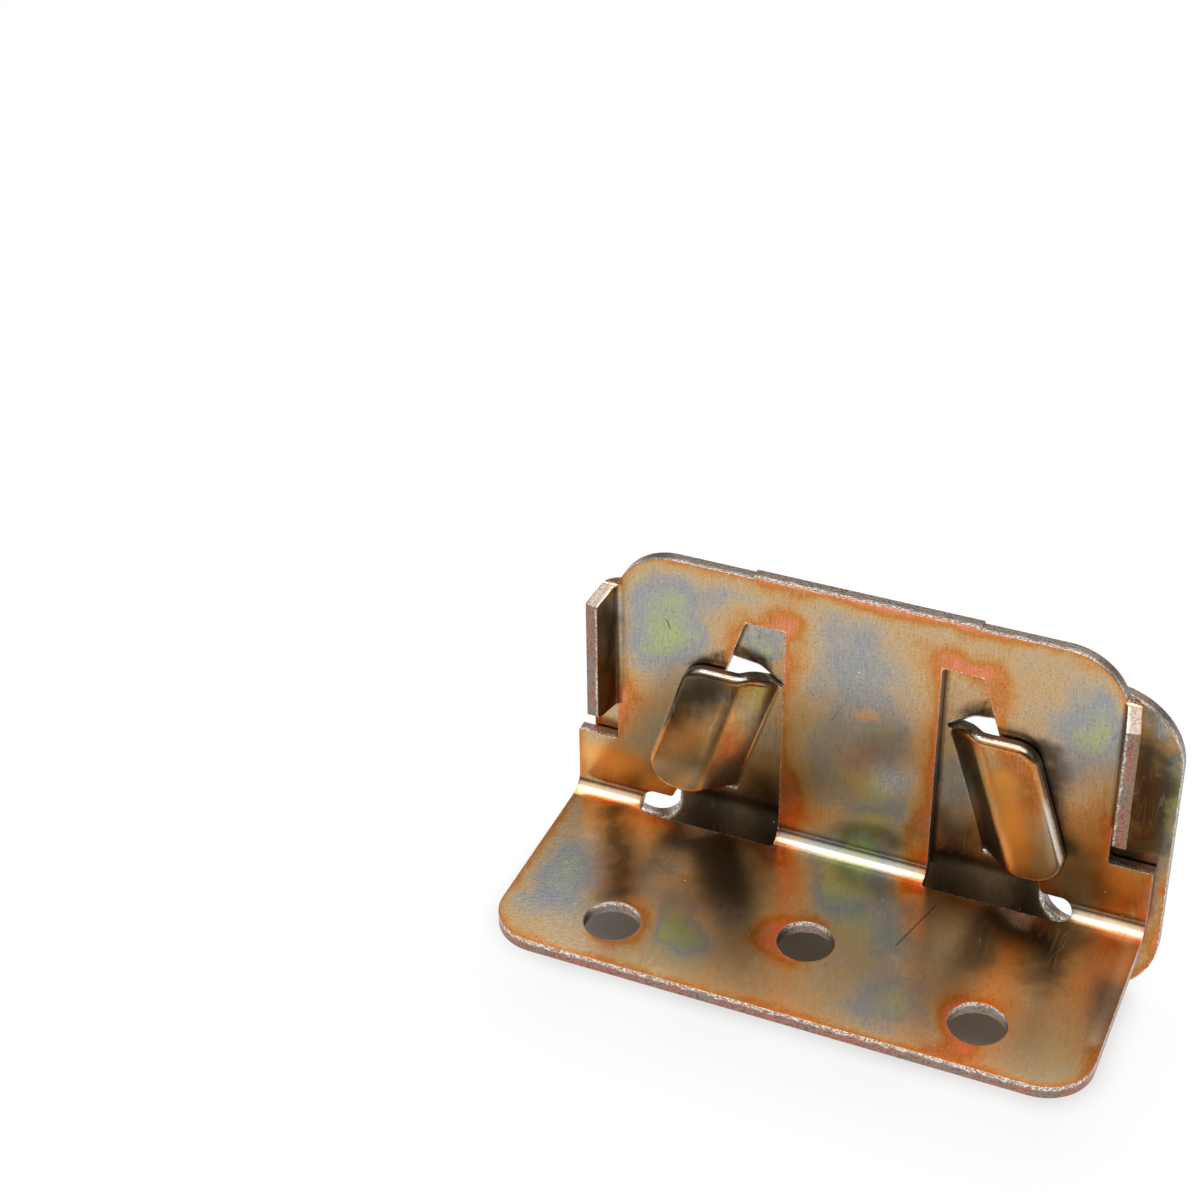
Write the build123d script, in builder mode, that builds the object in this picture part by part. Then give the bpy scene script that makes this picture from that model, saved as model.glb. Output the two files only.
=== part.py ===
# Bed rail fastener in two pieces: a folded rail bracket that hangs on the two hooks of a plate.
# Millimetres, +Z up, +X to the right along the fastener, the front faces -Y.
# Origin at mid length on the plate's back, level with the top of the bracket's flange.
from build123d import *
from math import cos, radians, sin, tan
import os

os.makedirs("parts", exist_ok=True)

# Both pieces are pressed from the same sheet.
sheet = 2.0
length = 90.0
# Side slope shared by the hooks and the bracket's windows.
slant = 17.3

# Rail bracket: flange, bend and wall.
flange_depth = 36.4
flange_corner_r = 7.5
bend_r = 2.6
wall_height = 46.4
crown_step = 0.4
crown_half = 17.0
wall_corner_r = 9.5
wall_half = 38.8
ledge_z = 10.9
notch_half = 38.4
notch_r = 0.6

# Ears folded forward at the sides of the wall.
ear_bottom_z = 18.0
ear_top_z = 40.0
ear_tip_drop = 1.4
ear_reach = 5.1
ear_bend = 78.0
ear_bend_r = 1.0
ear_tip_r = 0.9

# Screw holes of the flange.
rail_hole_r = 4.25
outer_hole_x = 27.8
outer_hole_y = 27.7
middle_hole_y = 21.0

# Windows of the wall, one for each hook.
window_inner_x = 11.85
window_top_z = 38.4
window_top_x = 18.0
window_foot_x = 34.3
window_foot_z = 2.3
window_front = 2.8
window_small_r = 0.7
window_top_r = 1.2
window_foot_r = 2.1

# Hook plate.
plate_gap = 0.3
plate_height = 55.3
plate_bottom_z = -15.5
plate_shift = 1.8
plate_corner_r = 11.6
plate_screw_r = 2.6
plate_head_r = 4.0
head_angle = 90
corner_screw_x = 34.0
corner_screw_z = 33.0
web_screw_top_z = 30.0
web_screw_low_z = -4.0

# Hooks: each root line runs parallel to the window's outer edge.
root_x = 15.8
root_z = 17.0
flap_gap = 0.4
ramp_angle = 42.0
hook_reach = 13.97
root_overlap = 1.5
front_facing = 0.2
square_to_front = 0.01
root_r = 1.0
crest_r = 3.5
lip_r = 1.0
hook_bottom_z = 5.6
hook_top_z = 29.3
hook_root_drop = 2.8
hook_crest_x = 17.1
hook_top_r = 4.0
hook_bottom_r = 4.5
hook_knee_r = 3.0

# Openings of the plate that the hooks are pressed out of.
slot_outer = 17.2
slot_above = 1.5
slot_knee_x = 16.6
slot_knee_drop = 1.6
slot_rim_gap = 0.2
slot_roll_r = 1.0
slot_top_r = 4.0
slot_knee_r = 2.0
leg_inner_x = 29.15
leg_centre_z = 0.4
leg_corner_r = 1.2

# Faces from the back to the front: plate, wall, flap.
plate_back = 0.0
plate_front = plate_back - sheet
wall_back = plate_front - plate_gap
wall_front = wall_back - sheet
flap_back = wall_front - flap_gap
flap_front = flap_back - sheet
flange_front = wall_front - flange_depth
ear_tip_y = wall_front - ear_reach
window_rim_y = wall_front - window_front
rise = tan(radians(slant))
beyond = length


# Half width of the hook's root line at a height.
def root_half(z):
    return root_x + (root_z - z) * rise


# Edges where one group of faces meets another.
def shared_edges(faces, other_faces):
    others = [edge for face in other_faces for edge in face.edges()]
    return [edge for face in faces for edge in face.edges() if any(edge.is_same(other) for other in others)]


# Corner of the sketch nearest to a point.
def corner(sketch, x, y):
    return sketch.vertices().sort_by_distance((x, y, 0))[0]


# Window of one hook: an upright opening whose foot runs through the bend into the flange.
window_bottom_z = -2 * sheet
window_low_x = window_top_x + (window_top_z - window_foot_z) * rise
with BuildPart() as window_space:
    with BuildSketch(Plane.XZ) as window_front_view:
        with BuildLine():
            Polyline(
                (window_inner_x, window_bottom_z),
                (window_inner_x, window_top_z),
                (window_top_x, window_top_z),
                (window_low_x, window_foot_z),
                (window_foot_x, window_foot_z),
                (window_foot_x, window_bottom_z),
                close=True,
            )
        make_face()
        fillet(corner(window_front_view, window_inner_x, window_top_z), radius=window_small_r)
        fillet(corner(window_front_view, window_top_x, window_top_z), radius=window_top_r)
        fillet(corner(window_front_view, window_low_x, window_foot_z), radius=window_small_r)
        fillet(corner(window_front_view, window_foot_x, window_foot_z), radius=window_foot_r)
    extrude(amount=beyond, both=True)
    with BuildSketch(Plane.XY) as window_plan:
        with BuildLine():
            Polyline(
                (window_inner_x, beyond),
                (window_inner_x, window_rim_y),
                (window_foot_x, window_rim_y),
                (window_foot_x, beyond),
                close=True,
            )
        make_face()
        fillet(corner(window_plan, window_inner_x, window_rim_y), radius=window_small_r)
        fillet(corner(window_plan, window_foot_x, window_rim_y), radius=window_foot_r)
    extrude(amount=beyond, both=True, mode=Mode.INTERSECT)

# Cross-section of an ear: wall, bend and tip as one strip of the sheet.
ear_turn = radians(ear_bend)
ear_out = ear_reach / tan(ear_turn)
ear_bend_start = notch_half - ear_bend_r * tan(ear_turn / 2)
ear_outer_corner = notch_half + sheet * tan(ear_turn / 2)
ear_root_x = ear_bend_start - sheet
tip_inner = (notch_half + ear_out, ear_tip_y)
tip_outer = (tip_inner[0] + sheet * sin(ear_turn), ear_tip_y + sheet * cos(ear_turn))
with BuildPart() as ear:
    with BuildSketch(Plane.XY.offset(ear_bottom_z)) as ear_section:
        with BuildLine():
            Polyline(
                (ear_root_x, wall_front),
                (notch_half, wall_front),
                tip_inner,
                tip_outer,
                (ear_outer_corner, wall_back),
                (ear_root_x, wall_back),
                close=True,
            )
        make_face()
        fillet(corner(ear_section, notch_half, wall_front), radius=ear_bend_r)
        fillet(corner(ear_section, ear_outer_corner, wall_back), radius=ear_bend_r + sheet)
    extrude(amount=wall_height)
    with BuildSketch(Plane.YZ) as ear_side:
        with BuildLine():
            Polyline(
                (beyond, ear_bottom_z),
                (ear_tip_y, ear_bottom_z),
                (ear_tip_y, ear_top_z - ear_tip_drop),
                (wall_front, ear_top_z),
                (wall_front, beyond),
                (beyond, beyond),
                close=True,
            )
        make_face()
        fillet(corner(ear_side, ear_tip_y, ear_bottom_z), radius=ear_tip_r)
        fillet(corner(ear_side, ear_tip_y, ear_top_z - ear_tip_drop), radius=ear_tip_r)
    extrude(amount=beyond, both=True, mode=Mode.INTERSECT)

# Rail bracket: the folded sheet that is screwed to the end of the rail.
crown_z = wall_height + crown_step
with BuildPart() as rail_bracket:
    with BuildSketch(Plane.YZ) as fold:
        with BuildLine():
            Polyline(
                (flange_front, 0),
                (wall_front, 0),
                (wall_front, crown_z),
                (wall_back, crown_z),
                (wall_back, -sheet),
                (flange_front, -sheet),
                close=True,
            )
        make_face()
        fillet(corner(fold, wall_front, 0), radius=bend_r)
        fillet(corner(fold, wall_back, -sheet), radius=bend_r + sheet)
    extrude(amount=length / 2, both=True)
    fillet(rail_bracket.edges().filter_by(Axis.Z).group_by(Axis.Y)[0], radius=flange_corner_r)
    # The wall narrows above the ledge and again where the ears begin.
    with BuildSketch(Plane.XZ) as beside_wall:
        with Locations((notch_half + length / 2, ledge_z + beyond / 2)):
            Rectangle(length, beyond)
        with Locations((-notch_half - length / 2, ledge_z + beyond / 2)):
            Rectangle(length, beyond)
        fillet(corner(beside_wall, notch_half, ledge_z), radius=notch_r)
        fillet(corner(beside_wall, -notch_half, ledge_z), radius=notch_r)
    extrude(amount=beyond, both=True, mode=Mode.SUBTRACT)
    with BuildSketch(Plane.XZ) as beside_bends:
        with Locations((ear_bend_start + length / 2, ear_bottom_z + beyond / 2)):
            Rectangle(length, beyond)
        with Locations((-ear_bend_start - length / 2, ear_bottom_z + beyond / 2)):
            Rectangle(length, beyond)
    extrude(amount=beyond, both=True, mode=Mode.SUBTRACT)
    add(ear.part)
    add(mirror(ear.part, about=Plane.YZ, mode=Mode.PRIVATE))
    # Outline of the wall's top: rounded corners, and a middle that stands a little higher.
    with BuildSketch(Plane.XZ) as top_outline:
        with Locations((0, ear_top_z - beyond / 2)):
            Rectangle(2 * length, beyond)
        with Locations((0, wall_height - beyond / 2)):
            RectangleRounded(2 * wall_half, beyond, wall_corner_r)
        with Locations((0, crown_z - beyond / 2)):
            Rectangle(2 * crown_half, beyond)
    extrude(amount=beyond, both=True, mode=Mode.INTERSECT)
    add(window_space.part, mode=Mode.SUBTRACT)
    add(mirror(window_space.part, about=Plane.YZ, mode=Mode.PRIVATE), mode=Mode.SUBTRACT)
    with BuildSketch(Plane.XY):
        with Locations(
            (outer_hole_x, wall_front - outer_hole_y),
            (-outer_hole_x, wall_front - outer_hole_y),
            (0, wall_front - middle_hole_y),
        ):
            Circle(rail_hole_r)
    extrude(amount=-sheet, mode=Mode.SUBTRACT)

rail_bracket.part.label = "rail_bracket"
export_step(rail_bracket.part, "parts/rail_bracket.step")

# Opening of the plate round one hook, with a round-bottomed leg at its lower outer corner.
hook_root_top_z = hook_top_z - hook_root_drop
slot_top_z = hook_top_z + slot_above
slot_knee_z = slot_top_z - slot_knee_drop
slot_rim_z = hook_root_top_z + slot_rim_gap
leg_outer_x = root_half(leg_centre_z) + slot_outer / cos(radians(slant))
leg_r = (leg_outer_x - leg_inner_x) / 2
with BuildPart() as slot_space:
    with BuildSketch(Plane.XZ) as slot_view:
        with BuildLine():
            Polyline(
                (root_half(hook_bottom_z), hook_bottom_z),
                (leg_inner_x, hook_bottom_z),
                (leg_inner_x, leg_centre_z),
                (leg_outer_x, leg_centre_z),
                (leg_outer_x - (slot_top_z - leg_centre_z) * rise, slot_top_z),
                (slot_knee_x, slot_knee_z),
                (root_half(slot_rim_z), slot_rim_z),
                close=True,
            )
        make_face()
        fillet(
            corner(slot_view, leg_outer_x - (slot_top_z - leg_centre_z) * rise, slot_top_z),
            radius=slot_top_r,
        )
        fillet(corner(slot_view, slot_knee_x, slot_knee_z), radius=slot_knee_r)
        fillet(corner(slot_view, leg_inner_x, hook_bottom_z), radius=leg_corner_r)
        with Locations((leg_inner_x + leg_r, leg_centre_z)):
            Circle(leg_r)
    extrude(amount=beyond, both=True)

# One hook: the sheet rises from the root line, bends over and ends in a rolled lip.
ramp = radians(ramp_angle)
half_turn = tan(ramp / 2)
foot_u = root_r * half_turn
crest_u = foot_u + (plate_front - flap_front) / tan(ramp)
free_bottom_x = root_half(hook_bottom_z) + hook_reach / cos(radians(slant))
free_top_x = root_half(hook_top_z) + hook_reach / cos(radians(slant))
offset_u = sheet * half_turn
root_plane = Plane(
    origin=(root_x, 0, root_z),
    x_dir=(cos(radians(slant)), 0, sin(radians(slant))),
    z_dir=(-sin(radians(slant)), 0, cos(radians(slant))),
)
with BuildPart() as hook:
    with BuildSketch(root_plane) as hook_section:
        with BuildLine():
            Polyline(
                (-root_overlap, plate_front),
                (foot_u, plate_front),
                (crest_u, flap_front),
                (hook_reach, flap_front),
                (hook_reach, flap_back),
                (crest_u + offset_u, flap_back),
                (foot_u + offset_u, plate_back),
                (-root_overlap, plate_back),
                close=True,
            )
        make_face()
        fillet(corner(hook_section, foot_u, plate_front), radius=root_r)
        fillet(corner(hook_section, foot_u + offset_u, plate_back), radius=root_r + sheet)
        fillet(corner(hook_section, crest_u, flap_front), radius=crest_r)
        fillet(corner(hook_section, crest_u + offset_u, flap_back), radius=crest_r - sheet)
    extrude(amount=length / 2, both=True)
    with BuildSketch(Plane.XZ) as hook_view:
        with BuildLine():
            Polyline(
                (0, hook_bottom_z),
                (free_bottom_x, hook_bottom_z),
                (free_top_x, hook_top_z),
                (hook_crest_x, hook_top_z),
                (root_half(hook_root_top_z), hook_root_top_z),
                (0, hook_root_top_z),
                close=True,
            )
        make_face()
        fillet(corner(hook_view, free_bottom_x, hook_bottom_z), radius=hook_bottom_r)
        fillet(corner(hook_view, free_top_x, hook_top_z), radius=hook_top_r)
        fillet(corner(hook_view, hook_crest_x, hook_top_z), radius=hook_knee_r)
    extrude(amount=beyond, both=True, mode=Mode.INTERSECT)
    # The lip: the front edge is rolled over all the way round.
    hook_front = hook.faces().filter_by(lambda face: face.normal_at().Y < -front_facing)
    hook_rim = hook.faces().filter_by(lambda face: abs(face.normal_at().Y) < square_to_front)
    lip = [edge for edge in shared_edges(hook_front, hook_rim) if edge.center().Y < plate_front - root_r]
    fillet(lip, radius=lip_r)

# Hook plate: the pressed sheet that is screwed to the bed post.
with BuildPart() as hook_plate:
    with BuildSketch(Plane.XZ.offset(-plate_back)) as plate_view:
        with Locations((plate_shift, plate_bottom_z + plate_height / 2)):
            RectangleRounded(length, plate_height, plate_corner_r)
    extrude(amount=sheet)
    add(slot_space.part, mode=Mode.SUBTRACT)
    add(mirror(slot_space.part, about=Plane.YZ, mode=Mode.PRIVATE), mode=Mode.SUBTRACT)
    # The shear drew the front edges of the openings in, apart from the root lines.
    plate_face = hook_plate.faces().filter_by(Axis.Y).sort_by(Axis.Y)[0]
    rims = [edge for wire in plate_face.inner_wires() for edge in wire.edges()]
    drawn = [edge for edge in rims if abs(abs(edge.center().X) - root_half(edge.center().Z)) > slot_roll_r]
    fillet(drawn, radius=slot_roll_r)
    add(hook.part)
    add(mirror(hook.part, about=Plane.YZ, mode=Mode.PRIVATE))
    with Locations(Plane.XZ.offset(-plate_front)):
        with Locations(
            (corner_screw_x, corner_screw_z),
            (-corner_screw_x, corner_screw_z),
            (0, web_screw_top_z),
            (0, web_screw_low_z),
        ):
            CounterSinkHole(plate_screw_r, plate_head_r, depth=sheet, counter_sink_angle=head_angle)

hook_plate.part.label = "hook_plate"
export_step(hook_plate.part, "parts/hook_plate.step")
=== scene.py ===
# %% [markdown]
# # A bed rail fastener in yellow passivated steel
# Two pressed sheets make this fitting: a plate with two lanced hooks, and a folded bracket that
# hangs on them. Their shapes come finished from the solid model. What Blender adds is the metal:
# a zinc skin whose thin clear film shows orange, tan, blue-grey and olive clouds, and raw edges
# where the sheet was sheared. This first cell loads the two pieces and keeps their size.

import math

import bpy
from mathutils import Matrix, Vector


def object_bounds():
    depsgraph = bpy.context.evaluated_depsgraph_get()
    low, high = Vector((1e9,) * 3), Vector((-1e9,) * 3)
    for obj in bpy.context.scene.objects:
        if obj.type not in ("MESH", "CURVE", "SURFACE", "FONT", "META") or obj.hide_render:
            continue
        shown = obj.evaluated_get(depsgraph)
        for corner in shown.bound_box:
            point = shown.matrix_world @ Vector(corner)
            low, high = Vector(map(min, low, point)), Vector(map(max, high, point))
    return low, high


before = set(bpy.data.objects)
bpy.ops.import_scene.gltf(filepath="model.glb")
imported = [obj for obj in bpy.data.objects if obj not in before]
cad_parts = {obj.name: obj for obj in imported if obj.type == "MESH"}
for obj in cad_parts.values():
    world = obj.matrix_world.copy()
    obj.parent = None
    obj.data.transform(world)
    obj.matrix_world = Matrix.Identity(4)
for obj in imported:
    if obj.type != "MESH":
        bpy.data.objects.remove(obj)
MM = 0.001
cad_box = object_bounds()
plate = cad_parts["hook_plate"]
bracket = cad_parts["rail_bracket"]

# %% [markdown]
# ## Camera
# The picture was taken from above and a little from the right, with a long lens from near by. The
# place, the turn and the lens were worked out from points that can be found both on the sheets and
# in the picture. The camera could have been aimed with a Track To constraint, but a fixed matrix
# keeps the small roll of the hand-held view.

# %% Camera
SENSOR = 36.0
PHOTO_SIZE = 1200.0
LENS_PX = 2575.969
CENTRE_PX = (570.178, 537.966)
CAMERA_PLACE = Vector((85.685, -295.102, 256.518)) * MM
TURN, HEIGHT, ROLL = (math.radians(angle) for angle in (24.339, 33.368, -1.173))
towards = Vector(
    (math.sin(TURN) * math.cos(HEIGHT), -math.cos(TURN) * math.cos(HEIGHT), math.sin(HEIGHT))
)
level_right = (-towards).cross(Vector((0, 0, 1))).normalized()
level_up = level_right.cross(-towards)
right = math.cos(ROLL) * level_right + math.sin(ROLL) * level_up
up = math.cos(ROLL) * level_up - math.sin(ROLL) * level_right
camera_data = bpy.data.cameras.new("photo_camera")
camera_data.sensor_width = SENSOR
camera_data.lens = SENSOR * LENS_PX / PHOTO_SIZE
camera_data.shift_x = (PHOTO_SIZE / 2 - CENTRE_PX[0]) / PHOTO_SIZE
camera_data.shift_y = (CENTRE_PX[1] - PHOTO_SIZE / 2) / PHOTO_SIZE
camera_data.clip_start = 10 * MM
camera = bpy.data.objects.new("photo_camera", camera_data)
axes = Matrix((right, up, towards)).transposed().to_4x4()
camera.matrix_world = Matrix.Translation(CAMERA_PLACE) @ axes
bpy.context.scene.collection.objects.link(camera)
bpy.context.scene.camera = camera
shift = [round(part, 4) for part in (camera_data.shift_x, camera_data.shift_y)]
print("lens", round(camera_data.lens, 2), "mm, shift", shift)

# %% [markdown]
# ## Sums in a material
# The film's colour follows the distance from the nearest cut edge: the bath reached the edges
# differently from the middle of the sheet. A picture texture could hold that, but sums on the
# object's own coordinates do it at any size and can be changed in one place. Blender writes a sum
# as many Math nodes. This small class lets the nodes be written as plain Python sums instead.

# %% A number that varies over the surface
def raw(value):
    return value.socket if isinstance(value, Field) else value


class Field:
    def __init__(self, tree, socket):
        self.tree = tree
        self.socket = socket

    def maths(self, kind, *others):
        node = self.tree.nodes.new("ShaderNodeMath")
        node.operation = kind
        for place, value in enumerate([self.socket, *map(raw, others)]):
            if isinstance(value, (int, float)):
                node.inputs[place].default_value = value
            else:
                self.tree.links.new(value, node.inputs[place])
        return Field(self.tree, node.outputs[0])

    def __add__(self, other):
        return self.maths("ADD", other)

    def __sub__(self, other):
        return self.maths("SUBTRACT", other)

    def __mul__(self, other):
        return self.maths("MULTIPLY", other)

    def __neg__(self):
        return self.maths("MULTIPLY", -1.0)

    def size(self):
        return self.maths("ABSOLUTE")

    def smaller(self, *others):
        result = self
        for other in others:
            result = result.maths("MINIMUM", other)
        return result

    def larger(self, *others):
        result = self
        for other in others:
            result = result.maths("MAXIMUM", other)
        return result

    def step(self, low, high):
        node = self.tree.nodes.new("ShaderNodeMapRange")
        node.interpolation_type = "SMOOTHSTEP"
        self.tree.links.new(self.socket, node.inputs["Value"])
        node.inputs["From Min"].default_value = low
        node.inputs["From Max"].default_value = high
        return Field(self.tree, node.outputs["Result"])


def long_side(a, b):
    return (a * a + b * b).maths("SQRT")


print("sums:", [name for name in vars(Field) if not name.startswith("__")])

# %% [markdown]
# ## Noise and colour
# Places are counted in millimetres on each sheet's own Object coordinates, so the marks move with
# the bracket when it slides. Each grain is a Noise Texture, which a Mapping node shifts, stretches
# or turns. A Color Ramp makes a colour of a number, and a Mix node lays one colour over another.


# %% Places, grain and colours
def place_of(tree):
    spot = tree.nodes.new("ShaderNodeTexCoord").outputs["Object"]
    scale = tree.nodes.new("ShaderNodeVectorMath")
    scale.operation = "SCALE"
    scale.inputs["Scale"].default_value = 1 / MM
    tree.links.new(spot, scale.inputs[0])
    parts = tree.nodes.new("ShaderNodeSeparateXYZ")
    tree.links.new(scale.outputs[0], parts.inputs[0])
    return scale.outputs[0], [Field(tree, parts.outputs[axis]) for axis in "XYZ"]


def grain(tree, spot, grain_size, detail, seed, stretch=(1, 1, 1), turned_by=(0, 0, 0)):
    turned = tree.nodes.new("ShaderNodeMapping")
    turned.inputs["Location"].default_value = (seed, seed * 1.7, -seed)
    turned.inputs["Scale"].default_value = stretch
    turned.inputs["Rotation"].default_value = turned_by
    tree.links.new(spot, turned.inputs["Vector"])
    noise = tree.nodes.new("ShaderNodeTexNoise")
    noise.inputs["Scale"].default_value = 1 / grain_size
    noise.inputs["Detail"].default_value = detail
    tree.links.new(turned.outputs[0], noise.inputs["Vector"])
    return Field(tree, noise.outputs["Fac"])


def colours(tree, field, stops):
    ramp = tree.nodes.new("ShaderNodeValToRGB")
    steps = ramp.color_ramp.elements
    while len(steps) < len(stops):
        steps.new(1.0)
    for step, (where, colour) in zip(steps, stops):
        step.position = where
        step.color = (*colour, 1)
    tree.links.new(field.socket, ramp.inputs[0])
    return ramp.outputs[0]


MIX_FIRST, MIX_SECOND, MIX_RESULT = 6, 7, 2


def mixed(tree, first, second, share):
    node = tree.nodes.new("ShaderNodeMix")
    node.data_type = "RGBA"
    tree.links.new(raw(share), node.inputs[0])
    for place, value in ((MIX_FIRST, first), (MIX_SECOND, second)):
        if isinstance(value, tuple):
            node.inputs[place].default_value = (*value, 1)
        else:
            tree.links.new(value, node.inputs[place])
    return node.outputs[MIX_RESULT]


print("places in the sums are in millimetres:", 1 / MM, "to a metre")

# %% [markdown]
# ## Blobs and strokes
# A blob is a soft ball squashed by three radii, and a stroke is a soft line from start to end.
# Both would look drawn with a compass, so noise first shifts the places that most of them are
# laid on.


# %% Ragged places, blobs and strokes
def vector_sum(tree, kind, *values):
    node = tree.nodes.new("ShaderNodeVectorMath")
    node.operation = kind
    for place, value in enumerate(values):
        if isinstance(value, (tuple, list, Vector)):
            node.inputs[place].default_value = tuple(value)
        else:
            tree.links.new(raw(value), node.inputs[place])
    return node.outputs["Value" if kind in ("LENGTH", "DOT_PRODUCT") else "Vector"]


def ragged_place(tree, spot, grain_size, shift, seed):
    turned = vector_sum(tree, "ADD", spot, (seed, -seed, seed * 2.3))
    noise = tree.nodes.new("ShaderNodeTexNoise")
    noise.inputs["Scale"].default_value = 1 / grain_size
    noise.inputs["Detail"].default_value = 2.0
    tree.links.new(turned, noise.inputs["Vector"])
    moved = vector_sum(tree, "MULTIPLY_ADD", noise.outputs["Color"], (shift,) * 3, spot)
    return vector_sum(tree, "ADD", moved, (-shift / 2,) * 3)


BLOB_REACH = 1.2


def blob(tree, spot, middle, radii):
    shrink = vector_sum(
        tree,
        "MULTIPLY_ADD",
        spot,
        [1 / radius for radius in radii],
        [-place / radius for place, radius in zip(middle, radii)],
    )
    return Field(tree, vector_sum(tree, "LENGTH", shrink)).step(BLOB_REACH, 0.0)


def stroke(tree, spot, start, end, width, core):
    start, end = Vector(start), Vector(end)
    along = (end - start).normalized()
    offset = vector_sum(tree, "SUBTRACT", spot, start)
    run = Field(tree, vector_sum(tree, "DOT_PRODUCT", offset, along))
    run = run.larger(0.0).smaller((end - start).length)
    across = vector_sum(tree, "MULTIPLY_ADD", run, -along, offset)
    return Field(tree, vector_sum(tree, "LENGTH", across)).step(width, width * core)


print("a blob fades out at", BLOB_REACH, "of its radii")

# %% [markdown]
# ## Floor
# Bare metal has no colour without something to mirror. A white floor gives the flat faces a plain
# light, in which a colour shows about as it is written. Light Path tells the floor which kind of
# ray has reached it: the camera and the mirrored rays see it plain white in the open. In the gap
# under the flange it is painted greyer and keeps the whole shadow, as it does in the picture.

# %% Floor
FLOOR_DROP = 0.05 * MM
FLOOR_REACH = 3.0
FLOOR_WHITE = (0.93, 0.93, 0.93)
GAP_SHADE = (0.50, 0.47, 0.44)
GAP_MIDDLE = (-5.0, -9.0)
GAP_HALF = (40.0, 10.0)
FADE = 13.0
LIFT = 0.92
low = cad_box[0].z - FLOOR_DROP
corners = ((-1, -1), (1, -1), (1, 1), (-1, 1))
floor_mesh = bpy.data.meshes.new("floor")
floor_points = [(a * FLOOR_REACH, b * FLOOR_REACH, low) for a, b in corners]
floor_mesh.from_pydata(floor_points, [], [(0, 1, 2, 3)])
floor = bpy.data.objects.new("floor", floor_mesh)
bpy.context.scene.collection.objects.link(floor)
floor_paint = bpy.data.materials.new("white_floor")
floor_paint.use_nodes = True
floor_tree = floor_paint.node_tree
floor_shader = floor_tree.nodes["Principled BSDF"]
floor_shader.inputs["Roughness"].default_value = 0.9
floor_shader.inputs["Specular IOR Level"].default_value = 0.1
_, floor_place = place_of(floor_tree)
away = [
    ((place - middle).size() - half).larger(0.0)
    for place, middle, half in zip(floor_place, GAP_MIDDLE, GAP_HALF)
]
open_floor = long_side(*away).step(0.0, FADE) * LIFT
# GAP_SHADE paints a shadow into the floor's colour: greyer under and near the flange.
floor_colour = mixed(floor_tree, GAP_SHADE, FLOOR_WHITE, open_floor)
floor_tree.links.new(floor_colour, floor_shader.inputs["Base Color"])
floor_ray = floor_tree.nodes.new("ShaderNodeLightPath").outputs
seen = Field(floor_tree, floor_ray["Is Camera Ray"])
seen = seen.larger(floor_ray["Is Glossy Ray"], floor_ray["Is Transmission Ray"])
plain_white = floor_tree.nodes.new("ShaderNodeEmission")
floor_mix = floor_tree.nodes.new("ShaderNodeMixShader")
floor_tree.links.new((seen * open_floor).socket, floor_mix.inputs[0])
floor_tree.links.new(floor_shader.outputs[0], floor_mix.inputs[1])
floor_tree.links.new(plain_white.outputs[0], floor_mix.inputs[2])
floor_tree.links.new(floor_mix.outputs[0], floor_tree.nodes["Material Output"].inputs["Surface"])
floor_mesh.materials.append(floor_paint)
print("floor at", round(low / MM, 2), "mm")

# %% [markdown]
# ## Sky and lamp
# Mirrors see a plain white sky. Matt surfaces get less from it and the rest from a wide soft lamp
# above, so that the floor darkens under the flange. An area lamp shines straight down unless it
# is turned, and here it isn't.

# %% Sky
SKY_FOR_MATT = 0.50
sky = bpy.data.worlds.new("white_room")
sky.use_nodes = True
sky_light = sky.node_tree.nodes["Background"]
sky_light.inputs["Color"].default_value = (1, 1, 1, 1)
sky_ray = sky.node_tree.nodes.new("ShaderNodeLightPath")
sky_level = sky.node_tree.nodes.new("ShaderNodeMapRange")
sky_level.inputs["To Min"].default_value = 1.0
sky_level.inputs["To Max"].default_value = SKY_FOR_MATT
sky.node_tree.links.new(sky_ray.outputs["Is Diffuse Ray"], sky_level.inputs["Value"])
sky.node_tree.links.new(sky_level.outputs["Result"], sky_light.inputs["Strength"])
bpy.context.scene.world = sky
bpy.context.scene.view_settings.view_transform = "Standard"
print("sky for matt surfaces:", SKY_FOR_MATT)

# %% Lamp
LAMP_PLACE = (0.0, 0.05, 0.60)
LAMP_SIDE = 0.80
LAMP_POWER = 5.0
lamp_data = bpy.data.lights.new("top_lamp", "AREA")
lamp_data.shape = "SQUARE"
lamp_data.size = LAMP_SIDE
lamp_data.energy = LAMP_POWER
lamp = bpy.data.objects.new("top_lamp", lamp_data)
lamp.location = LAMP_PLACE
lamp.visible_camera = False
bpy.context.scene.collection.objects.link(lamp)
print("lamp:", LAMP_POWER, "W,", LAMP_SIDE, "m wide, shining straight down")

# %% [markdown]
# ## Dark band
# A dark band stands round the set, low and far off. It hangs higher in front on the right, and a
# little higher behind on the left. Only mirrored rays can see it. It draws the dark lines that
# make a bend or a rolled lip look round, and the hooks' slanted ramps throw it down on the flange
# as dark streaks.

# %% Dark band round the set
BAND_REACH = 1.5
BAND_LOW, BAND_HIGH = math.radians(3.0), math.radians(24.0)
BAND_SIDES = 72
BAND_SHADE = (0.06, 0.06, 0.06, 1)
CLOTH_FALL = 0.4
# Where the band hangs higher: the turn round the set, half the width and the height, in degrees.
CLOTHS = ((-36.0, 50.0, 58.0), (114.0, 44.0, 42.0))


def band_top(angle):
    top = BAND_HIGH
    for cloth in CLOTHS:
        turn, half, high = (math.radians(part) for part in cloth)
        off = abs(math.remainder(angle - turn, 2 * math.pi))
        rise = max(0.0, math.cos(min(off / half, 1.0) * math.pi / 2)) ** CLOTH_FALL
        top = max(top, BAND_HIGH + (high - BAND_HIGH) * rise)
    return top


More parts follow.
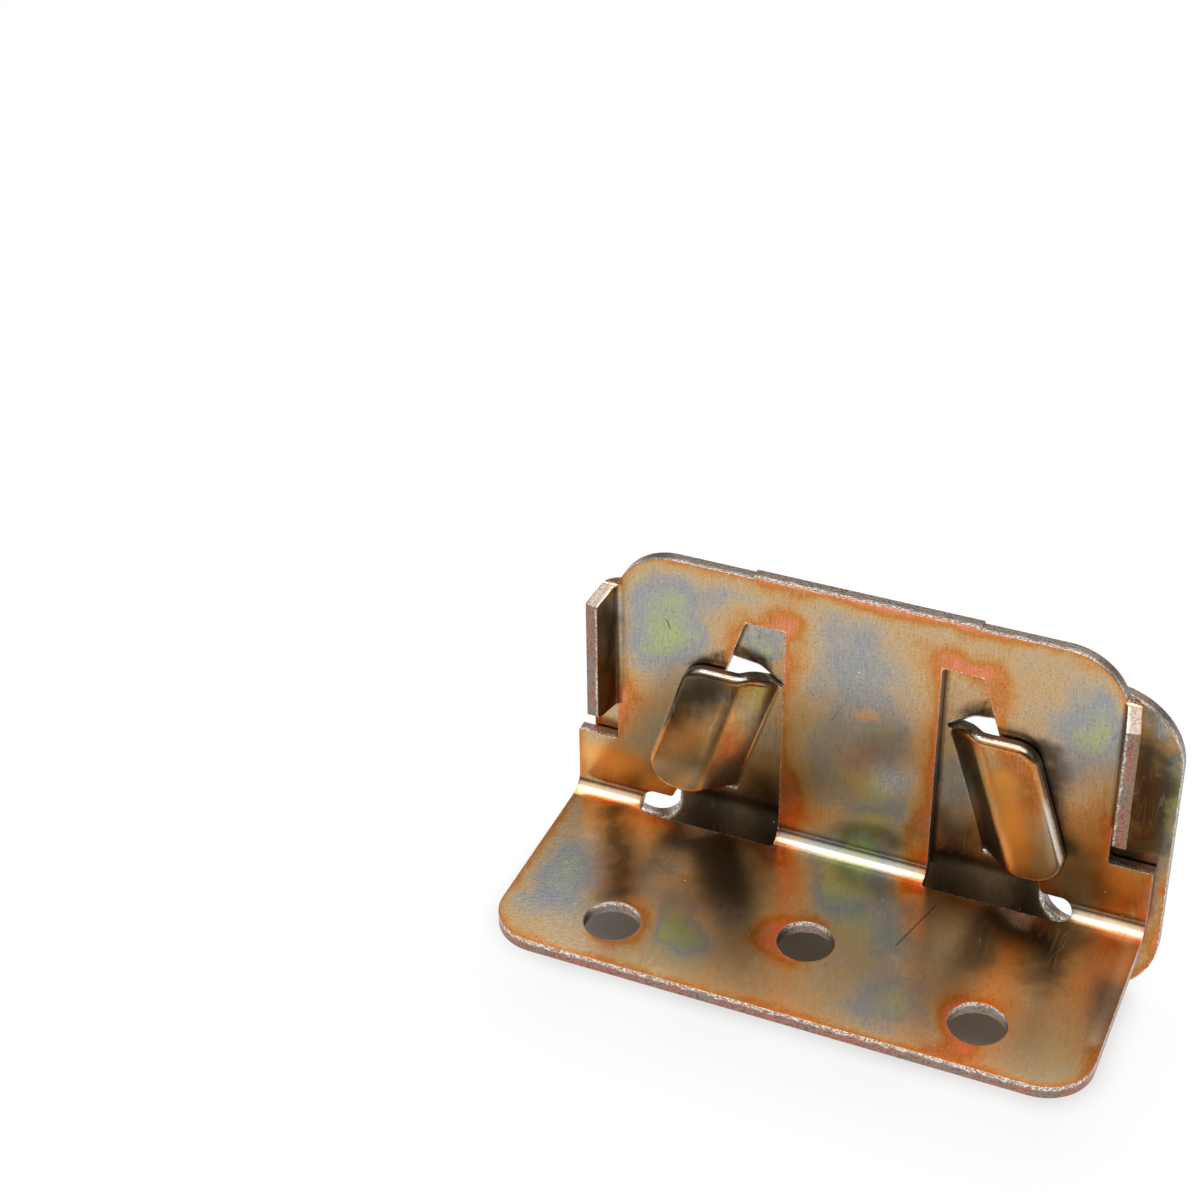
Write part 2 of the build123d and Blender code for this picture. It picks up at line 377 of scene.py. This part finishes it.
band_points = []
band_faces = []
for side in range(BAND_SIDES):
    angle = 2 * math.pi * side / BAND_SIDES
    for climb in (BAND_LOW, band_top(angle)):
        around = (math.cos(angle), math.sin(angle), math.tan(climb))
        band_points.append([BAND_REACH * part for part in around])
    here, there = 2 * side, 2 * ((side + 1) % BAND_SIDES)
    band_faces.append((here, there, there + 1, here + 1))
band_mesh = bpy.data.meshes.new("dark_band")
band_mesh.from_pydata(band_points, [], band_faces)
band = bpy.data.objects.new("dark_band", band_mesh)
bpy.context.scene.collection.objects.link(band)
band_paint = bpy.data.materials.new("dark_cloth")
band_paint.use_nodes = True
band_shader = band_paint.node_tree.nodes["Principled BSDF"]
band_shader.inputs["Base Color"].default_value = BAND_SHADE
band_mesh.materials.append(band_paint)
band.visible_camera = False
band.visible_diffuse = False
band.visible_shadow = False
band.visible_transmission = False
print("band", [round(math.degrees(climb)) for climb in (BAND_LOW, BAND_HIGH)], "degrees up")

# %% [markdown]
# ## Passivated steel
# The film runs through pink and orange at the cut edges, then tan, a lilac grey and a yellow green
# as it gets thicker. A colour ramp holds that row. The distance from the nearest edge, clouds of
# two sizes and some patches choose the place on it. Where the sheets trap the light, soft dark
# strokes paint shade and dark reflections into the colour. Bright strokes paint highlights, mainly
# on the bend and the flange's right side, while others add film tints. The cut faces are known by
# their depth below the front of the sheet: their front half is smeared bright by the shear, their
# back half is torn and brown.

# %% Colours of the film
FILM = (
    (0.00, (0.74, 0.24, 0.11)),
    (0.10, (0.66, 0.23, 0.065)),
    (0.22, (0.56, 0.21, 0.04)),
    (0.34, (0.60, 0.31, 0.11)),
    (0.46, (0.59, 0.38, 0.18)),
    (0.57, (0.56, 0.40, 0.23)),
    (0.69, (0.45, 0.385, 0.30)),
    (0.80, (0.34, 0.345, 0.35)),
    (0.90, (0.38, 0.40, 0.31)),
    (1.00, (0.42, 0.46, 0.23)),
)
SMEARED = ((0.36, (0.22, 0.17, 0.13)), (0.50, (0.52, 0.46, 0.40)), (0.62, (0.95, 0.92, 0.87)))
TORN = (0.31, 0.24, 0.19)
BLUSH = (0.44, 0.20, 0.15)
PITTED = (0.12, 0.09, 0.07)
# Pale grey of the hooks' rolled lips, a painted highlight.
LIP_HIGHLIGHT = (0.38, 0.35, 0.31)
SPECK = (0.90, 0.88, 0.84)
WORN = (0.74, 0.68, 0.60)
GREASE = (0.10, 0.08, 0.06)
# Colour of the painted shade and of the painted dark reflections.
PAINTED_SHADE = (0.045, 0.035, 0.022)
SCORED = (0.05, 0.04, 0.03)
print("film stops:", len(FILM))

# %% [markdown]
# ## Film, specks and scratches
# A wide halo and a narrow rim follow the edges, both made ragged by the clouds. Voronoi cells give
# the places of the specks, and about a quarter of the cells carry one. A scratch is the thin line
# where stretched noise crosses its middle value.

# %% Film, specks and scratches
# How far each of them pushes the film along its row of colours.
FROM_START, FROM_HALO, FROM_RIM = 0.12, 0.28, 0.14
FROM_CLOUD, FROM_WISP, FROM_DUST = 0.34, 0.24, 0.16
HALO_WIDTH, RIM_WIDTH = 5.0, 1.5
SPECK_CELL = 2.6
SCRATCH_TURNS = ((0.5, 0.6, 0.9), (-0.8, 0.4, -0.5), (0.2, -1.0, 0.3))


def film_order(tree, spot, edge, patches, seed):
    cloud = grain(tree, spot, 11.0, 3.0, seed) - 0.5
    wisp = grain(tree, spot, 3.0, 3.0, seed + 7.0) - 0.5
    dust = grain(tree, spot, 0.40, 2.0, seed + 9.0) - 0.5
    halo = (edge + cloud * 4.0 + wisp * 2.0).step(0.0, HALO_WIDTH)
    rim = (edge + wisp * 1.2).step(-0.3, RIM_WIDTH)
    order = halo * FROM_HALO + rim * FROM_RIM + cloud * FROM_CLOUD
    order = order + wisp * FROM_WISP + dust * FROM_DUST + FROM_START
    drift = ragged_place(tree, ragged_place(tree, spot, 7.0, 7.0, seed), 1.6, 1.8, seed + 2.0)
    for middle, radii, strength in patches:
        order = order + blob(tree, drift, middle, radii) * strength
    return order, drift


def speckled(tree, spot, colour):
    cells = tree.nodes.new("ShaderNodeTexVoronoi")
    cells.inputs["Scale"].default_value = 1 / SPECK_CELL
    tree.links.new(spot, cells.inputs["Vector"])
    chance = tree.nodes.new("ShaderNodeSeparateColor")
    tree.links.new(cells.outputs["Color"], chance.inputs[0])
    chosen = Field(tree, chance.outputs[0]).step(0.72, 0.78)
    near = Field(tree, cells.outputs["Distance"]).step(0.055, 0.03)
    return mixed(tree, colour, SPECK, near * chosen)


def scratches(tree, spot, seed):
    lines = None
    for number, turned_by in enumerate(SCRATCH_TURNS):
        streaks = grain(tree, spot, 2.2, 1.0, seed + 19.0 * number, (1.0, 0.10, 0.10), turned_by)
        line = (streaks - 0.5).size().step(0.009, 0.003)
        lines = line if lines is None else lines.larger(line)
    return lines * grain(tree, spot, 6.0, 1.0, seed + 2.0).step(0.50, 0.66)


print("scratch directions:", len(SCRATCH_TURNS))

# %% [markdown]
# ## The whole metal
# The layers go on in the order in which the real ones came about: film, dirt, rubbing, scratches,
# and the burr at the edges. The painted shade, the painted highlights and some film tints go in
# after the rubbing, the hooks' lips get a pale grey as a painted highlight, and the bright burr is
# partly a painted glint. The cut faces come last. Nearly all of it is metal, so its colour tints
# what it mirrors. The Bevel node breaks the sharp edges for the light only. A Bevel modifier would
# break them in the mesh, but the sheets come finished and keep their shape.

# %% The whole metal
METAL = 0.97
SMOOTHEST, GRAIN_ROUGHNESS, CUT_ROUGHNESS = 0.17, 0.12, 0.14
BUMP_HEIGHT = 0.014 * MM
BROKEN_EDGE = 0.22 * MM
SCRATCH_SHARE = 0.15
SCORED_CORE = 0.3


def cut_face(tree, spot, depth, torn, blushing, seed):
    back_half = TORN
    if blushing is not None:
        blush = grain(tree, spot, 7.0, 1.0, seed + 17.0).step(0.36, 0.56) * blushing
        back_half = mixed(tree, TORN, BLUSH, blush)
    back_half = mixed(tree, back_half, PITTED, (torn - 0.5).step(-0.02, 0.12) * 0.7)
    ragged = depth + (grain(tree, spot, 1.3, 1.0, seed + 5.0) - 0.5) * 0.9
    return mixed(tree, colours(tree, torn, SMEARED), back_half, ragged.step(0.45, 0.85))


def passivated(name, edge_of, depth_of, patches, shade_strokes, highlights_and_tints, scores, seed):
    paint = bpy.data.materials.new(name)
    paint.use_nodes = True
    tree = paint.node_tree
    shader = tree.nodes["Principled BSDF"]
    spot, (x, y, z) = place_of(tree)
    edge = edge_of(x, y, z)
    depth, on_cut, on_lip, blushing = depth_of(x, y, z)
    fine = grain(tree, spot, 0.42, 2.0, seed + 3.0)
    brushed = grain(tree, spot, 0.16, 1.0, seed + 5.0, (1.0, 0.07, 0.07))
    torn = grain(tree, spot, 0.30, 3.0, seed + 11.0)
    order, drift = film_order(tree, spot, edge, patches, seed)
    film = colours(tree, order, FILM)
    darker = ((fine - 0.5) + (brushed - 0.5) * 0.7).step(0.0, 0.42)
    film = mixed(tree, film, GREASE, darker * 0.50)
    lighter = ((fine - 0.5) + (brushed - 0.5)).step(-0.02, -0.45)
    film = mixed(tree, film, WORN, lighter * 0.25)
    # Painted shade: soft dark strokes where the sheets lie in shade or mirror dark parts.
    for start, end, width, share in shade_strokes:
        film = mixed(tree, film, PAINTED_SHADE, stroke(tree, drift, start, end, width, 0.0) * share)
    # Painted highlights, and some film tints, as strokes of their own colour.
    for start, end, width, share, colour in highlights_and_tints:
        film = mixed(tree, film, colour, stroke(tree, spot, start, end, width, 0.1) * share)
    film = mixed(tree, film, WORN, scratches(tree, spot, seed) * SCRATCH_SHARE)
    film = speckled(tree, spot, film)
    # The hooks' rolled lips get a pale grey: a painted highlight.
    if on_lip is not None:
        film = mixed(tree, film, LIP_HIGHLIGHT, on_lip)
    for start, end, width, share in scores:
        line = stroke(tree, spot, start, end, width, SCORED_CORE)
        film = mixed(tree, film, SCORED, line * share)
    # A bright line along the cut edges: partly the burr's bare metal, partly a painted glint.
    burr_glint = edge.size().step(0.20, 0.06) * torn.step(0.47, 0.56)
    film = mixed(tree, film, SPECK, burr_glint * 0.8)
    cut = cut_face(tree, spot, depth, torn, blushing, seed)
    tree.links.new(mixed(tree, film, cut, on_cut), shader.inputs["Base Color"])
    shader.inputs["Metallic"].default_value = METAL
    rough = fine * GRAIN_ROUGHNESS + SMOOTHEST + on_cut * CUT_ROUGHNESS
    tree.links.new(rough.socket, shader.inputs["Roughness"])
    bump = tree.nodes.new("ShaderNodeBump")
    bump.inputs["Distance"].default_value = BUMP_HEIGHT
    bump.inputs["Strength"].default_value = 1.0
    height = fine * 0.5 + brushed * 0.20 + torn * on_cut * 4.0
    tree.links.new(height.socket, bump.inputs["Height"])
    bevel = tree.nodes.new("ShaderNodeBevel")
    bevel.samples = 3
    bevel.inputs["Radius"].default_value = BROKEN_EDGE
    tree.links.new(bevel.outputs[0], bump.inputs["Normal"])
    tree.links.new(bump.outputs[0], shader.inputs["Normal"])
    return paint


print("metal:", METAL, "roughness from", SMOOTHEST)

# %% [markdown]
# ## Where the bracket's edges are
# The bracket is one folded sheet, so its cut faces are the front and sides of the flange, the
# outline of the wall, the ears' ends, the windows and the holes. Each is one short sum, and the
# smallest of them is the distance from the nearest edge. The depth below the front face is counted
# round the bend, so the smeared and torn halves of a cut face turn the corner with the sheet.

# %% Bracket edges
SHEET = 2.0
WALL_FRONT = -4.3
BEND = 2.6
SLOPE = math.tan(math.radians(17.3))
SLOPE_SHORTENS = math.cos(math.atan(SLOPE))
# Half length, depth or height, and corner radius.
FLANGE = (45.0, 36.4, 7.5)
WALL = (38.8, 46.6, 9.5)
WALL_FOOT = 10.9
EAR_IN, EAR_FOOT, EAR_SHOULDER, EAR_TOP = 36.9, 18.0, 38.4, 40.0
EAR_FRONT, EAR_CUT_FROM = -9.4, -4.75
EAR_FACE, EAR_LEAN = 38.4, math.radians(78.0)
PINK_SIDE, PINK_FRONT, PINK_TOP = 41.5, 34.0, 38.0
WINDOW_IN, WINDOW_OUT, WINDOW_TOP, NOTCH_FRONT = 11.85, 18.0, 38.4, 2.8
HOLE_RADIUS = 4.25
SIDE_HOLE = (27.8, 27.7)
MIDDLE_HOLE = 21.0
FAR = 100.0


def rounded(across, up, half, top, radius):
    a = across - (half - radius)
    b = up - (top - radius)
    return -(long_side(a.larger(0.0), b.larger(0.0)) + a.larger(b).smaller(0.0)) + radius


def on_ear(z, side):
    low = (side - EAR_IN).step(0.0, 0.3)
    low = low * (z - (EAR_FOOT + 0.05)).step(-0.02, 0.0) * (z - EAR_SHOULDER).step(0.2, 0.0)
    high = (side - (EAR_FACE + 0.05)).step(0.0, 0.1)
    high = high * (z - (EAR_SHOULDER - 0.4)).step(0.0, 0.2) * (z - (EAR_TOP + 0.1)).step(0.05, 0.0)
    return low.larger(high)


def bracket_edge(x, y, z):
    side = x.size()
    ahead = -y + WALL_FRONT
    ear = on_ear(z, side)
    flange = rounded(side, ahead, *FLANGE) * 2.0
    wall = rounded(side, z, *WALL) * 1.6 + (z - WALL_FOOT).step(0.2, -0.2) * FAR
    ear_end = (y - EAR_FRONT).smaller(z - EAR_FOOT, -z + EAR_TOP) * 1.6
    wall = wall * (-ear + 1.0) + ear_end * ear
    slanted = ((side - WINDOW_OUT) + (z - WINDOW_TOP) * SLOPE) * SLOPE_SHORTENS
    window = (-side + WINDOW_IN).larger(slanted, z - WINDOW_TOP, ahead - NOTCH_FRONT)
    outer = long_side(side - SIDE_HOLE[0], ahead - SIDE_HOLE[1]) - HOLE_RADIUS
    outer = outer * 1.5 + (side - SIDE_HOLE[0]).larger(0.0) * 0.9
    middle = long_side(side, ahead - MIDDLE_HOLE) - HOLE_RADIUS
    middle = middle * 1.3 + x.larger(0.0) * 0.9
    return flange.smaller(wall, window, outer.larger(-ahead), middle.larger(-ahead))


def bracket_depth(x, y, z):
    side = x.size()
    at_ear = on_ear(z, side)
    behind = (y - (WALL_FRONT - BEND)).larger(0.0)
    below = (-z + BEND).larger(0.0)
    depth = long_side(behind, below) - BEND
    ear = (side - EAR_FACE) * math.sin(EAR_LEAN) + (y - WALL_FRONT) * math.cos(EAR_LEAN)
    flat = depth.step(0.03, 0.06) * depth.step(SHEET - 0.03, SHEET - 0.06)
    end = ear.step(0.04, 0.08) * ear.step(SHEET - 0.04, SHEET - 0.08)
    end = end * (y - EAR_CUT_FROM).step(0.05, -0.05)
    on_cut = flat * (-at_ear + 1.0) + end * at_ear
    flange_rim = (side - PINK_SIDE).larger(-y + WALL_FRONT - PINK_FRONT).step(0.0, 0.8)
    ear_strip = at_ear * ear.step(0.45, 0.75) * ear.step(1.65, 1.35)
    ear_strip = ear_strip * (z - PINK_TOP).step(0.4, 0.0)
    depth = depth * (-at_ear + 1.0) + (ear + 0.35) * at_ear
    return depth, on_cut, None, flange_rim.larger(ear_strip)


print("bend radius:", BEND, "mm")

# %% [markdown]
# ## What the bracket's film shows
# Each patch has a middle, three radii and a push along the film's row of colours: up to lilac and
# green, down to orange and pink. Each stroke of painted shade, each painted highlight or film tint
# and each scored line has a start, an end, a width and a share, and a highlight or tint also has
# its own colour. They stand where the picture shows them, in millimetres on the sheet. Painting
# them by hand in Texture Paint would have fixed their size in pixels.

# %% Patches of the bracket's film
BRACKET_PATCHES = (
    # Wall, left, middle and right clouds.
    ((-31, -4.3, 36), (8.5, 6, 11), 0.42),
    ((-33, -4.3, 28), (6, 6, 8), 0.24),
    ((-25, -4.3, 41), (9, 6, 4.5), 0.20),
    ((-26, -4.3, 34), (5, 6, 7), 0.12),
    ((-1, -4.3, 34), (10, 6, 12), 0.30),
    ((3, -4.3, 23), (10, 6, 8), 0.32),
    ((3, -4.3, 13.5), (9, 6, 6), 0.42),
    ((-5, -4.3, 17), (6, 6, 9), 0.26),
    ((4, -4.3, 5), (9, 6, 4), 0.08),
    ((1, -4.3, 26.5), (2.5, 6, 2.5), -0.38),
    ((9, -4.3, 7), (3, 6, 6), -0.30),
    ((-9, -4.3, 8), (3.5, 6, 7), -0.26),
    ((34.5, -4.3, 33), (7, 6, 12), 0.42),
    ((30, -4.3, 25), (5, 6, 6), 0.22),
    ((-36, -4.3, 11), (4, 6, 3.0), 0.20),
    # Wall, round the windows and along its foot.
    ((-12.0, -4.3, 40.0), (4.5, 6, 5.0), -0.30),
    ((15, -4.3, 40.6), (9, 6, 4.0), -0.27),
    ((0, -4.9, 0.5), (11, 6, 4), 0.40),
    ((21, -4.3, 35), (3, 6, 6), -0.22),
    ((6, -4.3, 46.4), (22, 6, 2.2), -0.16),
    ((-36, -4.3, 20), (5, 6, 9), -0.32),
    ((-37, -4.3, 6), (9, 6, 7), -0.30),
    ((36, -4.3, 18), (6, 6, 12), -0.26),
    ((40, -4.3, 7), (9, 6, 7), -0.36),
    # Flange, lilac and green clouds.
    ((0.5, -10.3, 0), (7, 8, 5), 0.50),
    ((8, -15, 0), (9, 8, 5), 0.30),
    ((13, -21, 0), (6, 5, 5), 0.28),
    ((-38.5, -26, 0), (6.5, 11, 5), 0.42),
    ((-25, -19, 0), (5, 9, 5), 0.30),
    ((-20, -27, 0), (5, 7, 5), 0.38),
    ((-17, -32, 0), (6, 5, 5), 0.44),
    ((15, -32, 0), (6, 9, 5), 0.40),
    # Flange, orange at the holes, the sides and the notches.
    ((-5, -26, 0), (4, 5, 5), -0.34),
    ((23.5, -31, 0), (3.5, 6, 5), -0.32),
    ((26, -38, 0), (5, 3.5, 5), -0.42),
    ((-38, -5, 0), (9, 4, 6), -0.34),
    ((41, -6, 0), (6, 7, 6), -0.32),
    ((11.0, -7, 0), (3, 6, 6), -0.30),
    ((-9.5, -8, 0), (3, 7, 6), -0.30),
    ((29, -12, 0), (5, 7, 5), -0.24),
)
# Strokes of painted shade and painted dark reflections on the bracket.
BRACKET_SHADE_STROKES = (
    # Flange: painted reflections of the dark windows and hooks, streaks below the hooks.
    ((-37, -9, 0), (-28.5, -25, 0), 5.0, 0.80),
    ((-27, -8, 0), (-26, -17, 0), 5.5, 0.45),
    ((-17, -7, 0), (-13.5, -19, 0), 9.0, 0.60),
    ((24, -8, 0), (25, -19, 0), 6.5, 0.60),
    ((28, -6, 0), (29, -13, 0), 5.0, 0.45),
    ((-23, -5, 0), (-13, -5, 0), 4.5, 0.45),
    ((-22, -6, 0), (-17, -17, 0), 11.0, 0.50),
    ((21, -7, 0), (31, -12, 0), 11.0, 0.50),
    ((33.5, -7, 0), (33, -20, 0), 6.0, 0.74),
    # Wall: painted shade at its foot and by the hooks, darker on its middle and lower right.
    ((-1, -4.3, 4.2), (6, -4.3, 5.0), 3.6, 0.62),
    ((5, -4.3, 24), (3, -4.3, 20), 5.0, 0.25),
    ((36, -4.3, 5), (44, -4.3, 6), 6.0, 0.25),
    ((31.5, -4.3, 12), (27.5, -4.3, 26), 4.2, 0.88),
    ((-22.0, -4.3, 30.4), (-26.5, -4.3, 28.6), 2.3, 0.85),
    ((23.5, -4.3, 30.5), (28, -4.3, 28.0), 2.6, 0.75),
    # Painted shade on the inner faces of the ears.
    ((-39.4, -6.6, 17), (-39.4, -6.6, 39), 3.4, 0.85),
    ((39.4, -6.6, 17), (39.4, -6.6, 39), 3.0, 0.60),
)
# Painted highlights and film tints on the bracket.
BRACKET_HIGHLIGHTS_AND_TINTS = (
    # Painted highlights: bend, flange's right side. Then film tints at the wall's lower corners.
    ((-10.5, -5.1, 0.5), (10.5, -5.1, 0.5), 1.8, 0.60, (0.56, 0.55, 0.47)),
    ((-44.0, -5.1, 0.5), (-35.5, -5.1, 0.5), 1.7, 0.55, (0.96, 0.80, 0.62)),
    ((35.5, -5.1, 0.5), (44.0, -5.1, 0.5), 1.7, 0.50, (0.96, 0.80, 0.62)),
    ((44.0, -9.0, 0.0), (43.9, -29.0, 0.0), 1.6, 0.35, (0.98, 0.88, 0.74)),
    ((40.0, -5.5, 0.0), (43.0, -6.5, 0.0), 2.6, 0.60, (0.98, 0.80, 0.60)),
    ((-42.0, -4.3, 6.5), (-34.0, -4.3, 5.5), 4.0, 0.70, (1.00, 0.46, 0.10)),
    ((37.0, -4.3, 14.0), (42.0, -4.3, 8.0), 3.5, 0.40, (0.90, 0.36, 0.08)),
)
BRACKET_SCORES = (
    ((15.2, -10.3, 0), (12.4, -21.0, 0), 0.16, 0.8),
    ((-4.5, -4.3, 24.0), (-2.6, -4.3, 27.6), 0.12, 0.4),
    ((-30.4, -4.3, 35.6), (-29.8, -4.3, 34.2), 0.18, 0.7),
)
BRACKET_SEED = 3.0
bracket.data.materials.clear()
bracket.data.materials.append(
    passivated(
        "passivated_bracket",
        bracket_edge,
        bracket_depth,
        BRACKET_PATCHES,
        BRACKET_SHADE_STROKES,
        BRACKET_HIGHLIGHTS_AND_TINTS,
        BRACKET_SCORES,
        BRACKET_SEED,
    )
)
print("bracket nodes:", len(bracket.data.materials[0].node_tree.nodes))

# %% [markdown]
# ## Where the hook plate's edges are
# The plate's outline is a rectangle with round corners. The hooks stand in front of the plate, and
# their own outline counts there: the free edge runs parallel to the root line. The front of a
# ramp starts one bend radius times the tangent of half its angle away from the root line.

# %% Plate edges
RAMP = math.radians(42.0)
HOOK_BEND = 1.0
RAMP_START = HOOK_BEND * math.tan(RAMP / 2)
PLATE_MIDDLE = (1.8, 12.15)
PLATE = (45.0, 27.65, 11.6)
ROOT_AT, ROOT_HEIGHT = 15.8, 17.0
HOOK_WIDTH = 14.63
HOOK_LOW, HOOK_HIGH = 5.6, 29.3
HOOK_STARTS = -2.05
FLAP_FRONT = -6.7


def on_hook(y):
    return (y - HOOK_STARTS).step(0.0, -0.05)


def root_line(z):
    return (z - ROOT_HEIGHT) * -SLOPE + ROOT_AT


def plate_edge(x, y, z):
    outline = rounded((x - PLATE_MIDDLE[0]).size(), (z - PLATE_MIDDLE[1]).size(), *PLATE)
    free = (root_line(z) + HOOK_WIDTH - x.size()) * SLOPE_SHORTENS
    hook = free.smaller(z - HOOK_LOW, -z + HOOK_HIGH)
    at_hook = on_hook(y)
    return outline.larger(at_hook * FAR).smaller(hook + (-at_hook + 1.0) * FAR)


def plate_depth(x, y, z):
    at_hook = on_hook(y)
    at_plate = -at_hook + 1.0
    out = (x.size() - root_line(z)) * SLOPE_SHORTENS
    plane = y + SHEET
    ramp = plane * math.cos(RAMP) + (out - RAMP_START) * math.sin(RAMP)
    depth = plane * at_plate + ramp.smaller(y - FLAP_FRONT) * at_hook
    plate_cut = depth.step(0.03, 0.08) * depth.step(SHEET - 0.03, SHEET - 0.08) * at_plate
    hook_cut = depth.step(0.75, 1.05) * depth.step(SHEET - 0.03, SHEET - 0.15) * at_hook
    lip = depth.step(0.26, 0.50) * at_hook
    return depth, plate_cut + hook_cut, lip, None


print("ramp:", round(math.degrees(RAMP), 1), "degrees")

# %% [markdown]
# ## What the plate's film shows
# From the front only the hooks, a little of the plate in the windows and its right margin can be
# seen. The rest gets the same film without patches. The painted shade low on the plate darkens
# what the windows show of it above the flange.

# %% Patches of the plate's film
PLATE_PATCHES = (
    # Plate, seen through the windows and at its right margin.
    ((-14, -2, 36), (5, 3, 5), 0.34),
    ((-15, -2, 33), (3, 3, 2.5), 0.34),
    ((16, -2, 37), (4, 3, 4), -0.32),
    ((19, -2, 33), (3, 3, 5), -0.22),
    ((15, -2, 18), (5, 3, 8), 0.30),
    ((-15, -2, 18), (4, 3, 8), 0.10),
    ((42, -2, 36), (3, 3, 5), 0.50),
    ((46.6, -2, 24), (3.0, 3, 22), 0.95),
    ((43.5, -2, 37), (4, 3, 4), 0.45),
    ((42, -2, 18), (4, 3, 14), -0.30),
    # Flaps of the hooks.
    ((-24, -6.7, 26), (8, 3, 5), 0.40),
    ((-26.5, -6.7, 17), (5, 3, 5), -0.34),
    ((-21.5, -6.7, 23), (3, 3, 3), -0.26),
    ((23, -6.7, 21), (4, 3, 9), -0.34),
    ((27, -6.7, 10), (3, 3, 6), -0.22),
    ((30, -6.7, 20), (2.4, 3, 12), 0.42),
)
# Strokes of painted shade on the plate, and darker strokes at its right margin.
PLATE_SHADE_STROKES = (
    # Plate: painted shade low behind the windows, darker strokes at its right margin.
    ((-14, -2, -14), (-14, -2, 5), 10.0, 0.90),
    ((15, -2, -14), (15, -2, 6), 10.0, 0.90),
    ((27, -2, -14), (27, -2, 0), 9.0, 0.90),
    ((-24, -2, -14), (-24, -2, 0), 9.0, 0.90),
    ((41, -2, 10), (42, -2, 31), 6.5, 0.90),
    ((41, -2, 0), (41, -2, 9), 7.0, 0.70),
    ((44.6, -2, 14), (44.6, -2, 30), 3.6, 0.80),
    # Left flap darker at its top left, then painted shade on the ramps and above the hooks.
    ((-21.0, -6.0, 27.4), (-29.5, -6.7, 24.5), 7.0, 0.88),
    ((-24.0, -6.7, 26.0), (-30.0, -6.7, 20.0), 5.0, 0.85),
    ((-19.5, -4.5, 24), (-22.5, -4.5, 9), 3.6, 0.50),
    ((18.8, -3.6, 25), (22.0, -3.6, 9), 3.2, 0.90),
    ((-15.5, -2, 31), (-19, -2, 31), 2.4, 0.80),
    ((15.5, -2, 30), (19, -2, 31), 2.4, 0.85),
)
# Painted highlights and film tints on the hooks' flaps.
PLATE_HIGHLIGHTS_AND_TINTS = (
    # Right flap: crest and rim partly painted highlight, partly film; left flap: film tints.
    ((22.6, -6.7, 23.0), (26.0, -6.7, 9.5), 3.4, 0.92, (1.00, 0.43, 0.09)),
    ((29.6, -6.7, 20.0), (31.5, -6.7, 10.0), 1.8, 0.60, (0.74, 0.74, 0.70)),
    ((-30.0, -6.7, 9.0), (-25.0, -6.7, 8.5), 3.6, 0.60, (0.98, 0.76, 0.52)),
    ((-24.5, -6.7, 18.0), (-27.5, -6.7, 15.0), 3.0, 0.45, (0.80, 0.42, 0.18)),
)
PLATE_SEED = 21.0
plate.data.materials.clear()
plate.data.materials.append(
    passivated(
        "passivated_plate",
        plate_edge,
        plate_depth,
        PLATE_PATCHES,
        PLATE_SHADE_STROKES,
        PLATE_HIGHLIGHTS_AND_TINTS,
        (),
        PLATE_SEED,
    )
)
print("plate nodes:", len(plate.data.materials[0].node_tree.nodes))
